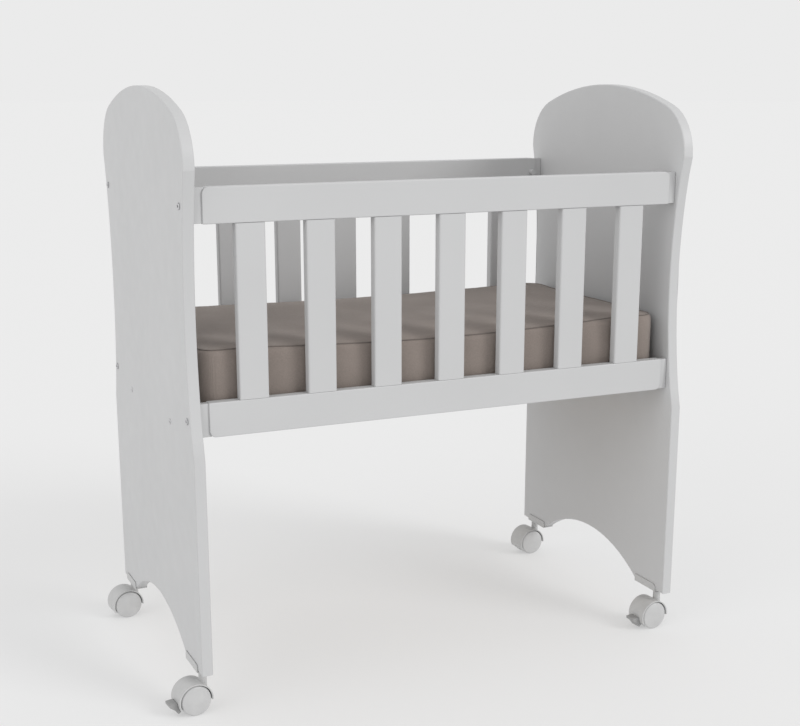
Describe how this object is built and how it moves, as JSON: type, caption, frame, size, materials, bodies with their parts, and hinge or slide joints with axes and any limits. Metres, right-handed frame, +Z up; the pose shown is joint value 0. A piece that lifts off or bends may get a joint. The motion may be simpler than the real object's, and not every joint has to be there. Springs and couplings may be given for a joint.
{
  "type": "baby crib",
  "caption": "Small rolling baby crib with tall shaped end panels, slatted sides, a mattress on a board and twin-wheel casters, the front ones with brakes.",
  "frame": {"origin": "on the floor, under the middle of the whole object's box, with the trailing casters counted in", "axes": "+Z up; +X along the crib, from the left end panel to the right one; -Y is the front, where the casters have brake pedals"},
  "size_m": [0.9162, 0.5, 0.947],
  "materials": {
    "white_paint": "white satin lacquer on fibreboard",
    "board": "plain raw board",
    "taupe_fabric": "soft matte taupe cover",
    "white_nylon": "satin moulded nylon",
    "grey_nylon": "satin moulded nylon",
    "zinc_steel": "bright zinc plate"
  },
  "bodies": {
    "root": {"left_end_panel": "white_paint", "right_end_panel": "white_paint", "front_top_rail": "white_paint", "front_bottom_rail": "white_paint", "back_top_rail": "white_paint", "back_bottom_rail": "white_paint", "front_slat_1": "white_paint", "front_slat_2": "white_paint", "front_slat_3": "white_paint", "front_slat_4": "white_paint", "front_slat_5": "white_paint", "front_slat_6": "white_paint", "front_slat_7": "white_paint", "back_slat_1": "white_paint", "back_slat_2": "white_paint", "back_slat_3": "white_paint", "back_slat_4": "white_paint", "back_slat_5": "white_paint", "back_slat_6": "white_paint", "back_slat_7": "white_paint", "mattress_board": "board", "left_board_cleat": "board", "right_board_cleat": "board", "front_top_left_bolt": "zinc_steel", "front_bottom_left_bolt": "zinc_steel", "back_top_left_bolt": "zinc_steel", "back_bottom_left_bolt": "zinc_steel", "front_top_right_bolt": "zinc_steel", "front_bottom_right_bolt": "zinc_steel", "back_top_right_bolt": "zinc_steel", "back_bottom_right_bolt": "zinc_steel", "front_left_shoe": "white_nylon", "front_left_stem": "zinc_steel", "front_right_shoe": "white_nylon", "front_right_stem": "zinc_steel", "back_left_shoe": "white_nylon", "back_left_stem": "zinc_steel", "back_right_shoe": "white_nylon", "back_right_stem": "zinc_steel"},
    "mattress": {"mattress": "taupe_fabric"},
    "front_left_caster": {"front_left_hood": "white_nylon", "front_left_axle": "zinc_steel"},
    "front_left_near_wheel": {"front_left_near_wheel": "grey_nylon"},
    "front_left_far_wheel": {"front_left_far_wheel": "grey_nylon"},
    "front_left_brake": {"front_left_brake_pedal": "white_nylon"},
    "front_right_caster": {"front_right_hood": "white_nylon", "front_right_axle": "zinc_steel"},
    "front_right_near_wheel": {"front_right_near_wheel": "grey_nylon"},
    "front_right_far_wheel": {"front_right_far_wheel": "grey_nylon"},
    "front_right_brake": {"front_right_brake_pedal": "white_nylon"},
    "back_left_caster": {"back_left_hood": "white_nylon", "back_left_axle": "zinc_steel"},
    "back_left_near_wheel": {"back_left_near_wheel": "grey_nylon"},
    "back_left_far_wheel": {"back_left_far_wheel": "grey_nylon"},
    "back_right_caster": {"back_right_hood": "white_nylon", "back_right_axle": "zinc_steel"},
    "back_right_near_wheel": {"back_right_near_wheel": "grey_nylon"},
    "back_right_far_wheel": {"back_right_far_wheel": "grey_nylon"}
  },
  "joints": [
    {"name": "mattress_lift", "type": "slide", "parent": "root", "child": "mattress", "axis": [0, 0, 1], "range_m": [0, 0.42]},
    {"name": "front_left_swivel", "type": "hinge", "parent": "root", "child": "front_left_caster", "pos_m": [-0.39849, -0.22, 0.05], "axis": [0, 0, 1], "continuous": true},
    {"name": "front_left_near_wheel_spin", "type": "hinge", "parent": "front_left_caster", "child": "front_left_near_wheel", "pos_m": [-0.41642, -0.22157, 0.02479], "axis": [-0.0872, 0.9962, 0], "continuous": true},
    {"name": "front_left_far_wheel_spin", "type": "hinge", "parent": "front_left_caster", "child": "front_left_far_wheel", "pos_m": [-0.41642, -0.22157, 0.02479], "axis": [-0.0872, 0.9962, 0], "continuous": true},
    {"name": "front_left_brake_press", "type": "hinge", "parent": "front_left_caster", "child": "front_left_brake", "pos_m": [-0.41642, -0.22157, 0.02479], "axis": [0.0872, -0.9962, 0], "range_deg": [0, 8]},
    {"name": "front_right_swivel", "type": "hinge", "parent": "root", "child": "front_right_caster", "pos_m": [0.44651, -0.22, 0.05], "axis": [0, 0, 1], "continuous": true},
    {"name": "front_right_near_wheel_spin", "type": "hinge", "parent": "front_right_caster", "child": "front_right_near_wheel", "pos_m": [0.42858, -0.22157, 0.02479], "axis": [-0.0872, 0.9962, 0], "continuous": true},
    {"name": "front_right_far_wheel_spin", "type": "hinge", "parent": "front_right_caster", "child": "front_right_far_wheel", "pos_m": [0.42858, -0.22157, 0.02479], "axis": [-0.0872, 0.9962, 0], "continuous": true},
    {"name": "front_right_brake_press", "type": "hinge", "parent": "front_right_caster", "child": "front_right_brake", "pos_m": [0.42858, -0.22157, 0.02479], "axis": [0.0872, -0.9962, 0], "range_deg": [0, 8]},
    {"name": "back_left_swivel", "type": "hinge", "parent": "root", "child": "back_left_caster", "pos_m": [-0.39849, 0.22, 0.05], "axis": [0, 0, 1], "continuous": true},
    {"name": "back_left_near_wheel_spin", "type": "hinge", "parent": "back_left_caster", "child": "back_left_near_wheel", "pos_m": [-0.41642, 0.21843, 0.02479], "axis": [-0.0872, 0.9962, 0], "continuous": true},
    {"name": "back_left_far_wheel_spin", "type": "hinge", "parent": "back_left_caster", "child": "back_left_far_wheel", "pos_m": [-0.41642, 0.21843, 0.02479], "axis": [-0.0872, 0.9962, 0], "continuous": true},
    {"name": "back_right_swivel", "type": "hinge", "parent": "root", "child": "back_right_caster", "pos_m": [0.44651, 0.22, 0.05], "axis": [0, 0, 1], "continuous": true},
    {"name": "back_right_near_wheel_spin", "type": "hinge", "parent": "back_right_caster", "child": "back_right_near_wheel", "pos_m": [0.42858, 0.21843, 0.02479], "axis": [-0.0872, 0.9962, 0], "continuous": true},
    {"name": "back_right_far_wheel_spin", "type": "hinge", "parent": "back_right_caster", "child": "back_right_far_wheel", "pos_m": [0.42858, 0.21843, 0.02479], "axis": [-0.0872, 0.9962, 0], "continuous": true}
  ]
}
